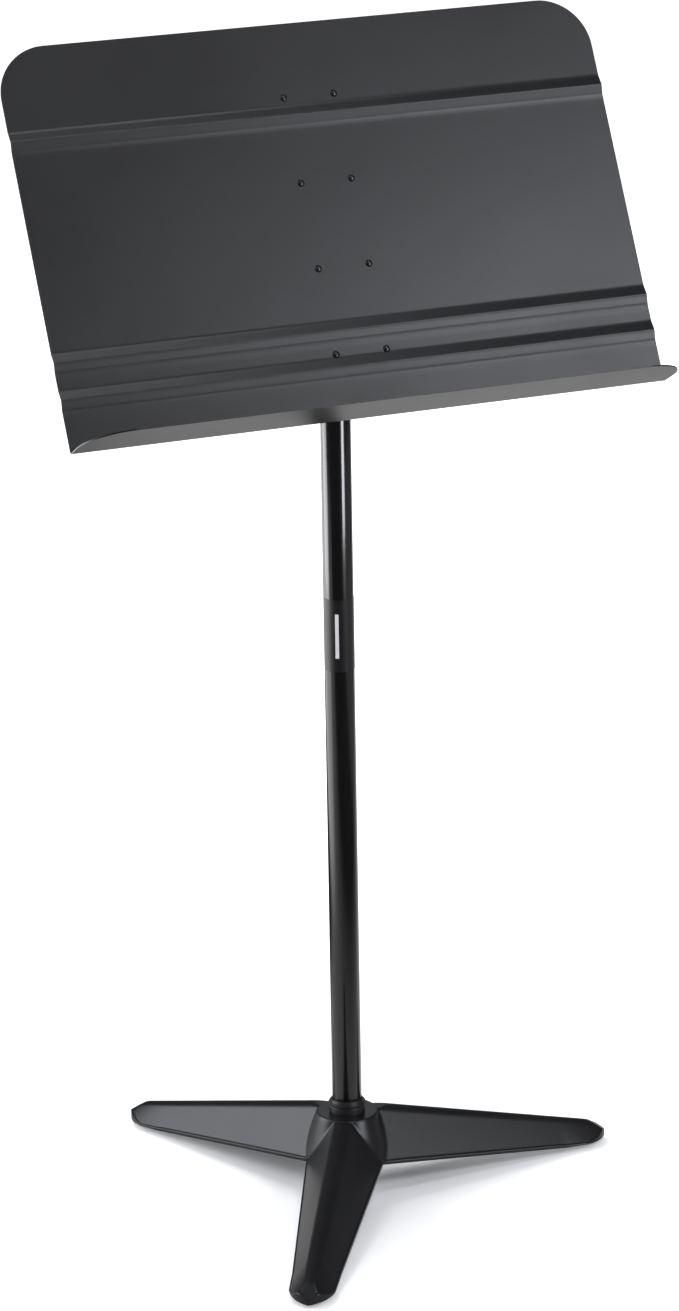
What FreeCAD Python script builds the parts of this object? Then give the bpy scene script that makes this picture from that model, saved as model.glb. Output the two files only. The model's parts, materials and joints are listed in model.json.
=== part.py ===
import FreeCAD, Part
import math
import os

V = FreeCAD.Vector

# Music stand at its lowest setting, in millimetres and degrees.
# Origin: on the floor under the pole's axis. +Z up, -Y towards the reader, +X to the reader's right.

# Desk: one bent sheet. "up" runs from the fold up the face, "out" from the face towards the reader.
desk_width = 508.0
desk_height = 329.0
sheet = 1.2
ledge_depth = 58.0
top_corner_radius = 42.0
ledge_corner_radius = 38.0
fold_radius = 3.0
desk_lean = 29.0
rib_levels = (43.0, 73.0, 252.5)
rib_depth = 2.6
rib_half_width = 8.0
edge_gap = 0.5                 # keeps the cutting outlines clear of the faces they must not touch

# Where the desk hangs on its pivot
pivot_to_face = 26.0
pivot_up_desk = 126.3

# Rivets that hold brace and bracket to the desk
rivet_spread = 43.2
rivet_levels = (54.0, 125.0, 196.2, 267.4)
rivet_radius = 2.0
rivet_head_radius = 3.1
rivet_head_height = 1.7
rivet_clearance = 0.05

# Back brace: a channel up the back of the desk
brace_width = 70.0
brace_sheet = 1.5
brace_flange = 9.5
brace_margin = 14.0            # brace past the outer rivets
brace_end_chamfer = 7.6

# Tilt bracket: a U whose ears straddle the head
bracket_sheet = 2.0
bracket_margin = 16.0          # web past its rivets
ear_radius = 15.0
ear_root = 48.0                # how far above the pivot the ears still join the web

# Tilt head and pivot stack, counted outwards along X
barrel_radius = 11.0
barrel_half_length = 24.0
bolt_radius = 4.0
running_clearance = 0.05
face_clearance = 0.1
bush_wall = 1.9
bush_length = 14.0
bush_flange_radius = 9.0
bush_flange = 1.5
friction_washer_radius = 12.5
friction_washer = 1.2
washer_radius = 8.4
washer = 1.6
spring_washer = 1.4
spring_washer_dish = 0.5
bolt_head_flats = 13.0
bolt_head = 5.3
nut_height = 8.0
nut_collar = 2.0
nut_collar_radius = 5.9
bolt_past_nut = 2.0

# Tubes
outer_radius = 12.5
outer_wall = 1.2
outer_length = 694.5
inner_wall = 1.2
inner_length = 660.0
inner_showing = 17.0           # inner tube above the outer tube's mouth at the lowest setting
pivot_above_inner = 16.4
press_clearance = 0.02

# Head stem and its pin
stem_length = 45.0
shoulder = 3.0
head_pin_radius = 2.0
head_pin_below_mouth = 18.0

# Guide bushing in the outer tube's mouth
guide_length = 28.0
guide_wall = 1.73
guide_flange = 2.5
guide_overhang = 1.1           # flange past the outer tube

# Friction clutch at the inner tube's foot
end_plug_length = 20.0
swivel_gap = 0.3
stud_radius = 4.0
core_relief = 0.9              # core inside the inner tube's outer face
core_length = 21.7
clip_thickness = 1.2
clip_radius = 7.0
clip_past = 4.0
finger_sheet = 0.5
finger_count = 8
finger_slot = 1.6
finger_band = 4.0
finger_bow = 13.0              # where the fingers touch the tube, above the core's foot
finger_tip_gap = 1.0
clutch_washer = 1.5
clutch_washer_gap = 0.9        # between washer and bore
clutch_screw_radius = 3.0
clutch_screw_head_radius = 5.0
clutch_screw_head = 3.6
clutch_screw_length = 14.0

# Base: pressed shell with three legs, one of them turned this far from -Y
hub_height = 69.0
hub_radius = 26.0
hub_skirt_radius = 38.3
hub_skirt_height = 29.0
leg_count = 3
leg_turn = -30.0
leg_reach = 241.0
tip_length = 46.0              # outer stretch of a leg, where the lower edge levels out
ridge_above_hub = 8.2          # ridge line carried on to the axis
ridge_height_at_tip = 14.5
edge_height_at_axis = 30.3
edge_height_at_bend = 5.3
edge_height_at_tip = 3.2
half_width_at_axis = 34.5
half_width_at_tip = 16.3
ridge_radius_at_axis = 11.0
ridge_radius_at_tip = 8.0
base_sheet = 2.5
nose_length = 36.0
nose_shoulder_along = 0.62     # where the nose's side arc passes, as shares of its length and half width
nose_shoulder_across = 0.8
nose_slope_run = 15.0
nose_lip = 4.0
below_floor = 3.0              # how far construction solids run on below the floor
leg_root = 7.0                 # how far past the axis each leg starts

# Under the hub
hub_plate_margin = 5.0         # plate inside the hub's rim
hub_plate = 3.0
base_washer_radius = 14.0
base_washer = 2.5
base_lock_radius = 8.9
base_lock = 2.2
base_bolt_radius = 5.0
base_bolt_flats = 17.0
base_bolt_head = 6.4
bolt_hole_clearance = 0.4
tube_plug_length = 22.0
bolt_short_of_plug = 3.0

# Collar at the pole's foot, its walls counted from the pole
collar_wall = 2.6
collar_step = 6.6
collar_groove_wall = 1.7
collar_groove = 0.8
collar_bead_wall = 2.9
collar_bead = 1.9
cone_foot_wall = 2.0
cone_top_wall = 0.5
cone_height = 2.6

# Label band on the pole
label_centre = 495.5
label_height = 62.0
label_thickness = 0.2
label_wrap = 200.0

# Feet
foot_from_tip = 29.0
foot_radius = 10.0
foot_edge = 1.0
foot_stem_radius = 3.5
foot_stem_clearance = 0.1
foot_knob_radius = 4.6
foot_knob = 3.0
bridge_height = 7.5
bridge_sheet = 1.5
bridge_half_length = 14.0

# Worked out from the values above
tube_top = hub_height + outer_length
inner_top = tube_top + inner_showing
inner_foot = inner_top - inner_length
pivot_height = inner_top + pivot_above_inner
outer_bore = outer_radius - outer_wall
inner_radius = outer_bore - press_clearance - guide_wall - running_clearance
inner_bore = inner_radius - inner_wall
core_radius = inner_radius - core_relief
bush_radius = bolt_radius + running_clearance + bush_wall
friction_face = barrel_half_length + bush_flange + face_clearance
ear_face = friction_face + friction_washer
ear_outside = ear_face + bracket_sheet
stack_outside = ear_outside + washer + spring_washer
face_y = -pivot_to_face
panel_back_y = face_y + sheet
brace_back_y = panel_back_y + brace_sheet
bracket_back_y = brace_back_y + bracket_sheet
fold_z = -pivot_up_desk
leg_bend = leg_reach - tip_length
foot_from_axis = leg_reach - foot_from_tip


def rod(radius, start, end):
    """Round bar from one point to another."""
    axis = end.sub(start)
    return Part.makeCylinder(radius, axis.Length, start, axis)


def upright(radius, low, high):
    """Round bar on the pole's axis."""
    return rod(radius, V(0, 0, low), V(0, 0, high))


def pipe(outside, inside, low, high):
    """Tube on the pole's axis."""
    return upright(outside, low, high).cut(upright(inside, low, high))


def ring_x(outside, inside, low, high):
    """Ring round the tilt axis, between two X positions."""
    return rod(outside, V(low, 0, 0), V(high, 0, 0)).cut(rod(inside, V(low, 0, 0), V(high, 0, 0)))


def box(low, high):
    """Box between its lowest and highest corners."""
    size = high.sub(low)
    return Part.makeBox(size.x, size.y, size.z, low)


def hexagon(flats, height, start, axis):
    """Hexagonal bar that starts at a point and runs along an axis."""
    corner = flats / math.sqrt(3)
    points = [V(corner * math.cos(math.radians(60 * i)), corner * math.sin(math.radians(60 * i)), 0)
              for i in range(7)]
    bar = Part.Face(Part.makePolygon(points)).extrude(V(0, 0, height))
    bar.Placement = FreeCAD.Placement(start, FreeCAD.Rotation(V(0, 0, 1), axis))
    return bar


def spin(points):
    """Solid of revolution round the pole's axis from a closed outline of (radius, height) points."""
    outline = [V(r, 0, z) for r, z in points]
    face = Part.Face(Part.makePolygon(outline + outline[:1]))
    return face.revolve(V(0, 0, 0), V(0, 0, 1), 360)


def tangent_point(centre, radius, point, side):
    """Where a line from a point touches a circle, both given as (across, up)."""
    across = point[0] - centre[0]
    up = point[1] - centre[1]
    angle = math.atan2(up, across) + side * math.acos(radius / math.hypot(across, up))
    return (centre[0] + radius * math.cos(angle), centre[1] + radius * math.sin(angle))


def on_desk(shape):
    """Lean a shape back with the desk and lift it to the pivot."""
    placed = shape.copy()
    placed.rotate(V(0, 0, 0), V(1, 0, 0), -desk_lean)
    placed.translate(V(0, 0, pivot_height))
    return placed


def at_pivot(shape):
    """Lift a shape to the pivot without leaning it."""
    placed = shape.copy()
    placed.translate(V(0, 0, pivot_height))
    return placed


def round_legs(shape):
    """One copy of a shape for each leg, from a shape made for a leg along +X."""
    copies = []
    for i in range(leg_count):
        copy = shape.copy()
        copy.rotate(V(0, 0, 0), V(0, 0, 1), leg_turn - 90 + i * 360.0 / leg_count)
        copies.append(copy)
    return copies


# ---------------------------------------------------------------- desk

def sheet_line(out, levels_up):
    """The face's ribbed line as (y, z) points, at a distance behind or before the face."""
    points = []
    for level in levels_up:
        points.append((out, level - rib_half_width))
        points.append((out - rib_depth, level))
        points.append((out, level + rib_half_width))
    return points


def desk_panel():
    """Ribbed sheet, bent forward into the ledge at its foot."""
    front = [V(0, y, fold_z + z) for y, z in sheet_line(face_y, rib_levels)]
    back = [V(0, y, fold_z + z) for y, z in sheet_line(panel_back_y, rib_levels)]
    top_z = fold_z + desk_height
    lip_y = face_y - ledge_depth
    inside = fold_radius - sheet
    centre = V(0, face_y - inside, fold_z + fold_radius)
    half = math.sqrt(0.5)
    inner_arc = Part.Arc(V(0, face_y, centre.z),
                         centre.add(V(0, inside * half, -inside * half)),
                         V(0, centre.y, fold_z + sheet))
    outer_arc = Part.Arc(V(0, centre.y, fold_z),
                         centre.add(V(0, fold_radius * half, -fold_radius * half)),
                         V(0, panel_back_y, centre.z))
    face_run = [V(0, face_y, top_z)] + front[::-1] + [V(0, face_y, centre.z)]
    ledge_run = [V(0, centre.y, fold_z + sheet), V(0, lip_y, fold_z + sheet), V(0, lip_y, fold_z),
                 V(0, centre.y, fold_z)]
    back_run = [V(0, panel_back_y, centre.z)] + back + [V(0, panel_back_y, top_z)]
    edges = Part.makePolygon(face_run).Edges
    edges.append(inner_arc.toShape())
    edges += Part.makePolygon(ledge_run).Edges
    edges.append(outer_arc.toShape())
    edges += Part.makePolygon(back_run + face_run[:1]).Edges
    section = Part.Face(Part.Wire(edges))
    section.translate(V(-desk_width / 2, 0, 0))
    panel = section.extrude(V(desk_width, 0, 0))

    behind = panel_back_y + edge_gap
    before = lip_y - edge_gap
    above = top_z + edge_gap
    below = fold_z - edge_gap
    face_outline = box(V(-desk_width / 2, before, below), V(desk_width / 2, behind, top_z))
    face_outline = face_outline.makeFillet(top_corner_radius, edges_along(face_outline, 1, top_z))
    ledge_outline = box(V(-desk_width / 2, lip_y, below), V(desk_width / 2, behind, above))
    ledge_outline = ledge_outline.makeFillet(ledge_corner_radius, edges_along(ledge_outline, 2, lip_y))
    panel = panel.common(face_outline).common(ledge_outline)
    return panel.cut(rivet_holes(rivet_levels))


def edges_along(block, axis, level):
    """A block's edges along Y that lie at a height (axis 1), or along Z that lie at a Y (axis 2)."""
    found = []
    for edge in block.Edges:
        along = edge.tangentAt(edge.FirstParameter)
        middle = edge.CenterOfMass
        place = middle.z if axis == 1 else middle.y
        if abs(along[axis]) > 0.99 and abs(place - level) < 0.01:
            found.append(edge)
    return found


def rivet_places(levels):
    """Rivet centres as (x, z) for the given levels up the desk."""
    return [(side * rivet_spread / 2, fold_z + level) for level in levels for side in (-1, 1)]


def rivet_holes(levels):
    """Clearance holes through desk, brace and bracket."""
    radius = rivet_radius + rivet_clearance
    return Part.makeCompound([rod(radius, V(x, face_y - ledge_depth, z), V(x, 0, z))
                              for x, z in rivet_places(levels)])


def bracket_levels():
    """The rivets that also hold the tilt bracket: the two inner rows."""
    return rivet_levels[1:-1]


def rivet_head(x, z, y, outward):
    """Domed head that stands from a face at y, towards -Y (outward -1) or +Y (outward 1)."""
    ball = (rivet_head_radius ** 2 + rivet_head_height ** 2) / (2 * rivet_head_height)
    centre = V(x, y + outward * (rivet_head_height - ball), z)
    slab = rod(ball, V(x, y, z), V(x, y + outward * rivet_head_height, z))
    return Part.makeSphere(ball, centre).common(slab)


def desk_rivets():
    """All the rivets, each one solid."""
    rivets = []
    for x, z in rivet_places(rivet_levels):
        level = z - fold_z
        back_y = bracket_back_y if level in bracket_levels() else brace_back_y
        shank = rod(rivet_radius, V(x, face_y, z), V(x, back_y, z))
        head = rivet_head(x, z, face_y, -1)
        tail = rivet_head(x, z, back_y, 1)
        rivets.append(shank.fuse([head, tail]).removeSplitter())
    return Part.makeCompound(rivets)


def back_brace():
    """Channel with its flanges pointing away from the desk."""
    low = fold_z + rivet_levels[0] - brace_margin
    high = fold_z + rivet_levels[-1] + brace_margin
    half = brace_width / 2
    whole = box(V(-half, panel_back_y, low), V(half, brace_back_y + brace_flange, high))
    between = half - brace_sheet
    space = box(V(-between, brace_back_y, low), V(between, brace_back_y + brace_flange, high))
    ends = [edge for edge in whole.Edges
            if abs(edge.tangentAt(edge.FirstParameter).x) > 0.99 and edge.CenterOfMass.y > brace_back_y]
    whole = whole.makeChamfer(brace_end_chamfer, ends)
    return whole.cut(space).cut(rivet_holes(rivet_levels))


def ear(x_low):
    """One ear of the tilt bracket, a plate with a round lobe about the pivot."""
    root = (brace_back_y, ear_root)
    touch = tangent_point((0, 0), ear_radius, root, -1)
    outline = [(brace_back_y, -ear_radius), (0, -ear_radius), touch, root]
    points = [V(x_low, y, z) for y, z in outline]
    plate = Part.Face(Part.makePolygon(points + points[:1])).extrude(V(bracket_sheet, 0, 0))
    lobe = rod(ear_radius, V(x_low, 0, 0), V(x_low + bracket_sheet, 0, 0))
    return plate.fuse(lobe)


def tilt_bracket():
    """U bracket: a riveted web and two ears."""
    low = min(fold_z + bracket_levels()[0] - bracket_margin, -ear_radius)
    high = fold_z + bracket_levels()[-1] + bracket_margin
    web = box(V(-ear_outside, brace_back_y, low), V(ear_outside, bracket_back_y, high))
    body = web.fuse([ear(ear_face), ear(-ear_outside)]).removeSplitter()
    hole = rod(bolt_radius + running_clearance, V(-ear_outside, 0, 0), V(ear_outside, 0, 0))
    return body.cut(hole).cut(rivet_holes(bracket_levels()))


# ---------------------------------------------------------------- pivot stack

def tilt_head():
    """Cross barrel on a neck, with a stem that fits the inner tube."""
    mouth = -pivot_above_inner
    barrel = rod(barrel_radius, V(-barrel_half_length, 0, 0), V(barrel_half_length, 0, 0))
    stem = upright(inner_bore - press_clearance, mouth - stem_length, 0)
    neck = upright(inner_radius, mouth, 0)
    cap = upright(inner_radius + shoulder / 2, mouth, mouth + shoulder)
    body = barrel.fuse([stem, neck, cap]).removeSplitter()
    bore = rod(bush_radius, V(-barrel_half_length, 0, 0), V(barrel_half_length, 0, 0))
    return body.cut(bore).cut(head_pin_hole(-pivot_height))


def head_pin_hole(lift):
    """Cross hole for the pin that joins the head's stem to the inner tube."""
    z = inner_top - head_pin_below_mouth + lift
    return rod(head_pin_radius, V(-inner_radius, 0, z), V(inner_radius, 0, z))


def head_pin():
    """Spring pin, flush inside the inner tube's outer face."""
    z = inner_top - head_pin_below_mouth
    reach = inner_radius - inner_wall / 2
    return rod(head_pin_radius, V(-reach, 0, z), V(reach, 0, z))


def tilt_bushings():
    """Two flanged bushings pressed into the barrel."""
    bushes = []
    for side in (-1, 1):
        inner_end = side * (barrel_half_length - bush_length)
        barrel_end = side * barrel_half_length
        outer_end = side * (barrel_half_length + bush_flange)
        sleeve = rod(bush_radius, V(inner_end, 0, 0), V(barrel_end, 0, 0))
        flange = rod(bush_flange_radius, V(barrel_end, 0, 0), V(outer_end, 0, 0))
        bore = rod(bolt_radius + running_clearance, V(inner_end, 0, 0), V(outer_end, 0, 0))
        bushes.append(sleeve.fuse(flange).cut(bore))
    return Part.makeCompound(bushes)


def both_sides(outside, low, high):
    """The same ring round the bolt at each end of the stack."""
    inside = bolt_radius + running_clearance
    return Part.makeCompound([ring_x(outside, inside, low, high), ring_x(outside, inside, -high, -low)])


def spring_washers():
    """Dished washers, hollow side towards the flat washers."""
    inside = bolt_radius + running_clearance
    thick = spring_washer - spring_washer_dish
    low = ear_outside + washer
    outline = [(inside, low + spring_washer_dish), (inside, low + spring_washer),
               (washer_radius, low + thick), (washer_radius, low)]
    dish = spin(outline)
    pair = []
    for turn in (-90, 90):
        copy = dish.copy()
        copy.rotate(V(0, 0, 0), V(0, 1, 0), turn)
        pair.append(copy)
    return Part.makeCompound(pair)


def tilt_bolt():
    """Hexagon bolt through ears and barrel, head on +X."""
    end = -(stack_outside + nut_height + bolt_past_nut)
    shank = rod(bolt_radius, V(end, 0, 0), V(stack_outside, 0, 0))
    return shank.fuse(hexagon(bolt_head_flats, bolt_head, V(stack_outside, 0, 0), V(1, 0, 0)))


def tilt_nut():
    """Lock nut: hexagon with a rounded collar that holds the locking ring."""
    nut = hexagon(bolt_head_flats, nut_height - nut_collar, V(-stack_outside, 0, 0), V(-1, 0, 0))
    start = -(stack_outside + nut_height - nut_collar)
    crown = rod(nut_collar_radius, V(start, 0, 0), V(start - nut_collar, 0, 0))
    end = -(stack_outside + nut_height)
    hole = rod(bolt_radius, V(-stack_outside, 0, 0), V(end, 0, 0))
    return nut.fuse(crown).cut(hole)


# ---------------------------------------------------------------- tubes and clutch

def inner_tube():
    """Sliding tube with the cross hole for the head pin."""
    return pipe(inner_radius, inner_bore, inner_foot, inner_top).cut(head_pin_hole(0))


def guide_bushing():
    """Flanged plastic sleeve that centres the inner tube in the outer tube's mouth."""
    low = tube_top - guide_length
    high = tube_top + guide_flange
    chamfer = guide_flange / 3
    rim = outer_radius + guide_overhang
    bore = inner_radius + running_clearance
    sleeve = outer_bore - press_clearance
    return spin([(bore, low), (sleeve, low), (sleeve, tube_top), (rim, tube_top),
                 (rim, high - chamfer), (rim - chamfer, high), (bore, high)])


def shaft_end_plug():
    """Plug in the inner tube's foot, bored for the swivel stud."""
    return pipe(inner_bore - press_clearance, stud_radius + running_clearance,
                inner_foot, inner_foot + end_plug_length)


def core_foot():
    """Height of the clutch core's lower end."""
    return inner_foot - swivel_gap - core_length


def clutch_core():
    """Core that carries the fingers, with the stud on which the inner tube turns."""
    foot = core_foot()
    body = upright(core_radius, foot, inner_foot - swivel_gap)
    stud = upright(stud_radius, foot, inner_foot + end_plug_length + clip_past)
    hole = upright(clutch_screw_radius, foot, foot + clutch_screw_length)
    return body.fuse(stud).removeSplitter().cut(hole)


def clutch_clip():
    """Retaining ring above the end plug."""
    low = inner_foot + end_plug_length + swivel_gap
    return pipe(clip_radius, stud_radius, low, low + clip_thickness)


def clutch_fingers():
    """Crown of spring fingers that bow out to the outer tube's bore."""
    foot = core_foot()
    band = foot + finger_band
    bow = foot + finger_bow
    tip = foot + core_length - finger_tip_gap
    reach = outer_bore - running_clearance
    outline = [(core_radius, foot), (core_radius + finger_sheet, foot), (core_radius + finger_sheet, band),
               (reach, bow), (reach - finger_sheet, tip), (reach - 2 * finger_sheet, tip),
               (reach - finger_sheet, bow), (core_radius, band)]
    crown = spin(outline)
    slots = []
    for i in range(finger_count):
        slot = box(V(0, -finger_slot / 2, band), V(outer_bore, finger_slot / 2, tip))
        slot.rotate(V(0, 0, 0), V(0, 0, 1), i * 360.0 / finger_count)
        slots.append(slot)
    return crown.cut(Part.makeCompound(slots))


def clutch_washer_ring():
    """Washer that holds the fingers to the core."""
    foot = core_foot()
    hole = clutch_screw_radius + running_clearance
    return pipe(outer_bore - clutch_washer_gap, hole, foot - clutch_washer, foot)


def clutch_screw():
    """Screw from below into the core."""
    foot = core_foot()
    seat = foot - clutch_washer
    shank = upright(clutch_screw_radius, seat, foot + clutch_screw_length)
    head = upright(clutch_screw_head_radius, seat - clutch_screw_head, seat)
    return shank.fuse(head)


# ---------------------------------------------------------------- base

def ridge_height(rho):
    """Height of a leg's ridge line at a distance from the axis."""
    at_axis = hub_height + ridge_above_hub
    return at_axis + (ridge_height_at_tip - at_axis) * rho / leg_reach


def half_width(rho):
    """Half of a leg's width at its lower edge, at a distance from the axis."""
    return half_width_at_axis + (half_width_at_tip - half_width_at_axis) * rho / leg_reach


def edge_height(rho):
    """Height of a leg's lower edge at a distance from the axis."""
    if rho <= leg_bend:
        return edge_height_at_axis + (edge_height_at_bend - edge_height_at_axis) * rho / leg_bend
    share = (rho - leg_bend) / (leg_reach - leg_bend)
    return edge_height_at_bend + (edge_height_at_tip - edge_height_at_bend) * share


def leg_section(rho, inset):
    """Rounded inverted V across a leg, its flanks run on down below the floor."""
    radius = ridge_radius_at_axis + (ridge_radius_at_tip - ridge_radius_at_axis) * rho / leg_reach
    middle = ridge_height(rho) - radius
    touch = tangent_point((0, middle), radius, (half_width(rho), edge_height(rho)), 1)
    normal = (touch[0] / radius, (touch[1] - middle) / radius)
    shrink = radius - inset
    side = shrink * normal[0]
    side_z = middle + shrink * normal[1]
    foot = side + (side_z + below_floor) * normal[1] / normal[0]
    right = V(rho, side, side_z)
    left = V(rho, -side, side_z)
    low_right = V(rho, foot, -below_floor)
    low_left = V(rho, -foot, -below_floor)
    crown = Part.Arc(right, V(rho, 0, middle + shrink), left)
    return Part.Wire([Part.makeLine(low_right, right), crown.toShape(),
                      Part.makeLine(left, low_left), Part.makeLine(low_left, low_right)])


def nose_limit(inset):
    """Everything a leg may fill: pointed in plan, and cut back by a slope above its lip."""
    reach = leg_reach - inset
    start = leg_reach - nose_length
    side = half_width(start) - inset
    wide = 2 * half_width_at_axis
    top = hub_height + ridge_above_hub + below_floor
    shoulder = V(start + nose_shoulder_along * (reach - start), nose_shoulder_across * side, 0)
    mirrored = V(shoulder.x, -shoulder.y, 0)
    right = Part.Arc(V(start, side, 0), shoulder, V(reach, 0, 0))
    left = Part.Arc(V(reach, 0, 0), mirrored, V(start, -side, 0))
    corners = [V(start, -side, 0), V(start, -wide, 0), V(-leg_root, -wide, 0),
               V(-leg_root, wide, 0), V(start, wide, 0), V(start, side, 0)]
    plan = Part.Wire([right.toShape(), left.toShape()] + Part.makePolygon(corners).Edges)
    block = Part.Face(plan).extrude(V(0, 0, top + below_floor))
    block.translate(V(0, 0, -below_floor))

    slope_end = leg_reach - nose_slope_run
    slope_foot = edge_height_at_tip + nose_lip
    slope = math.hypot(nose_slope_run, ridge_height(slope_end) - slope_foot)
    drop = inset * slope / nose_slope_run
    past = leg_reach + nose_length
    outline = [V(slope_end, -wide, ridge_height(slope_end) - drop), V(leg_reach, -wide, slope_foot - drop),
               V(past, -wide, slope_foot - drop), V(past, -wide, top + below_floor),
               V(slope_end, -wide, top + below_floor)]
    cutter = Part.Face(Part.makePolygon(outline + outline[:1]))
    return block.cut(cutter.extrude(V(0, 2 * wide, 0)))


def base_solid(inset):
    """Legs and hub as one full solid, set in from the shell's outside by a thickness."""
    sections = [leg_section(rho, inset) for rho in (-leg_root, leg_bend, leg_reach)]
    ceiling = box(V(-leg_reach, -leg_reach, -below_floor), V(leg_reach, leg_reach, hub_height - inset))
    leg = Part.makeLoft(sections, True, True).common(nose_limit(inset)).common(ceiling)
    flare = (hub_skirt_radius - hub_radius) / (hub_height - hub_skirt_height)
    tall = hub_height - inset + below_floor
    top_radius = hub_radius - inset * (1 - flare)
    whole = Part.makeCone(top_radius + flare * tall, top_radius, tall, V(0, 0, -below_floor))
    for one_leg in round_legs(leg):
        whole = whole.fuse(one_leg)
    return whole.removeSplitter()


def under_leg():
    """The space below one leg's lower edge, in that leg's third of the plan."""
    past = leg_reach + nose_length
    spread = past * math.tan(math.pi / leg_count)
    outline = [V(0, 0, -below_floor), V(past, -spread, -below_floor), V(past, spread, -below_floor)]
    third = Part.Face(Part.makePolygon(outline + outline[:1])).extrude(V(0, 0, hub_height))
    low = -2 * below_floor
    steps = (0, leg_bend, past)
    profile = [V(rho, -spread, edge_height(rho)) for rho in steps]
    profile = [V(0, -spread, low)] + profile + [V(past, -spread, low)]
    space = Part.Face(Part.makePolygon(profile + profile[:1])).extrude(V(0, 2 * spread, 0))
    return third.common(space)


def base_shell(inside):
    """Pressed shell: the full base less its inside, what is under its lower edge, and the bolt hole."""
    shell = base_solid(0).cut(inside)
    for space in round_legs(under_leg()):
        shell = shell.cut(space)
    return shell.cut(upright(base_bolt_radius + bolt_hole_clearance, 0, hub_height)).removeSplitter()


def hub_plate_disc():
    """Stiffener under the hub."""
    top = hub_height - base_sheet
    return pipe(hub_radius - hub_plate_margin, base_bolt_radius + bolt_hole_clearance, top - hub_plate, top)


def base_stack():
    """Washer, lock washer and bolt under the hub plate."""
    seat = hub_height - base_sheet - hub_plate
    hole = base_bolt_radius + running_clearance
    thick = pipe(base_washer_radius, hole, seat - base_washer, seat)
    lock_top = seat - base_washer
    lock = pipe(base_lock_radius, hole, lock_top - base_lock, lock_top)
    half_split = base_lock / 4
    split = box(V(0, -half_split, lock_top - base_lock), V(base_lock_radius, half_split, lock_top))
    lock = lock.cut(split)
    under_head = lock_top - base_lock
    shank = upright(base_bolt_radius, under_head, hub_height + tube_plug_length - bolt_short_of_plug)
    head = hexagon(base_bolt_flats, base_bolt_head, V(0, 0, under_head), V(0, 0, -1))
    return thick, lock, shank.fuse(head)


def tube_plug():
    """Threaded plug fixed in the outer tube's foot."""
    return pipe(outer_bore, base_bolt_radius, hub_height, hub_height + tube_plug_length)


def tube_collar():
    """Stepped collar round the pole's foot: a flat ring, a groove and a bead."""
    bore = outer_radius + running_clearance
    step = outer_radius + collar_wall
    groove = outer_radius + collar_groove_wall
    bead = outer_radius + collar_bead_wall
    z1 = hub_height + collar_step
    z2 = z1 + collar_groove
    z3 = z2 + collar_bead
    chamfer = collar_groove
    return spin([(bore, hub_height), (step, hub_height), (step, z1 - chamfer), (step - chamfer, z1),
                 (groove, z1), (groove, z2), (bead - chamfer, z2), (bead, z2 + chamfer),
                 (bead, z3 - chamfer), (bead - chamfer, z3), (bore, z3)])


def collar_cone():
    """Tapered sleeve on top of the collar."""
    low = hub_height + collar_step + collar_groove + collar_bead
    high = low + cone_height
    bore = outer_radius + running_clearance
    foot = outer_radius + cone_foot_wall
    return spin([(bore, low), (foot, low), (outer_radius + cone_top_wall, high), (bore, high)])


def pole_label():
    """Plain band stuck round the reader's side of the pole."""
    low = label_centre - label_height / 2
    band = pipe(outer_radius + label_thickness, outer_radius, low, low + label_height)
    wedge = Part.makeCylinder(2 * outer_radius, label_height, V(0, 0, low), V(0, 0, 1), label_wrap)
    wedge.rotate(V(0, 0, 0), V(0, 0, 1), -90 - label_wrap / 2)
    return band.common(wedge)


def foot_pad():
    """Rubber foot with a push-in stem, for a leg along +X."""
    at = foot_from_axis
    pad = Part.makeCylinder(foot_radius, bridge_height, V(at, 0, 0))
    rim = [edge for edge in pad.Edges if edge.Closed and edge.CenterOfMass.z < foot_edge]
    pad = pad.makeChamfer(foot_edge, rim)
    top = bridge_height + bridge_sheet
    stem = Part.makeCylinder(foot_stem_radius, top - bridge_height, V(at, 0, bridge_height))
    knob = Part.makeCone(foot_knob_radius, foot_stem_radius, foot_knob, V(at, 0, top))
    return pad.fuse([stem, knob])


def foot_bridge(inside):
    """Plate across the inside of a leg's tip, welded to both flanks."""
    at = foot_from_axis
    low = V(at - bridge_half_length, -half_width_at_axis, bridge_height)
    high = V(at + bridge_half_length, half_width_at_axis, bridge_height + bridge_sheet)
    hole = Part.makeCylinder(foot_stem_radius + foot_stem_clearance, hub_height, V(at, 0, 0))
    plates = []
    for plate in round_legs(box(low, high).cut(hole)):
        plates += plate.common(inside).Solids
    return Part.makeCompound(plates)


# ---------------------------------------------------------------- all nodes

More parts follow.
